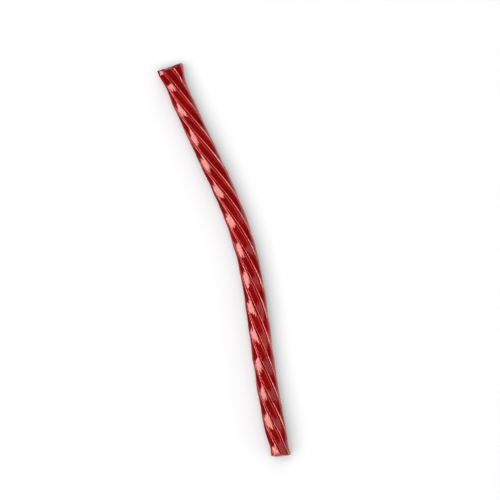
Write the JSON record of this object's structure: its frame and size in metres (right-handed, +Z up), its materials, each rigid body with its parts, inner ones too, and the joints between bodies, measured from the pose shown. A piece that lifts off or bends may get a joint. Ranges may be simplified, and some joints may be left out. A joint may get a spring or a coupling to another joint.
{
  "type": "red licorice twist",
  "caption": "Red licorice twist: one chewy candy strand with raised ribs wound round it and pinched ends, lying in a gentle bend.",
  "frame": {"origin": "on the table under the middle of the strand's bounding box", "axes": "+Y towards the wider pinched end, +X towards the outside of the bend, +Z up from the table"},
  "size_m": [0.02, 0.1754, 0.0095],
  "materials": {
    "candy_red": "glossy, slightly see-through deep red candy"
  },
  "bodies": {
    "root": {"licorice_twist": "candy_red"}
  },
  "joints": []
}
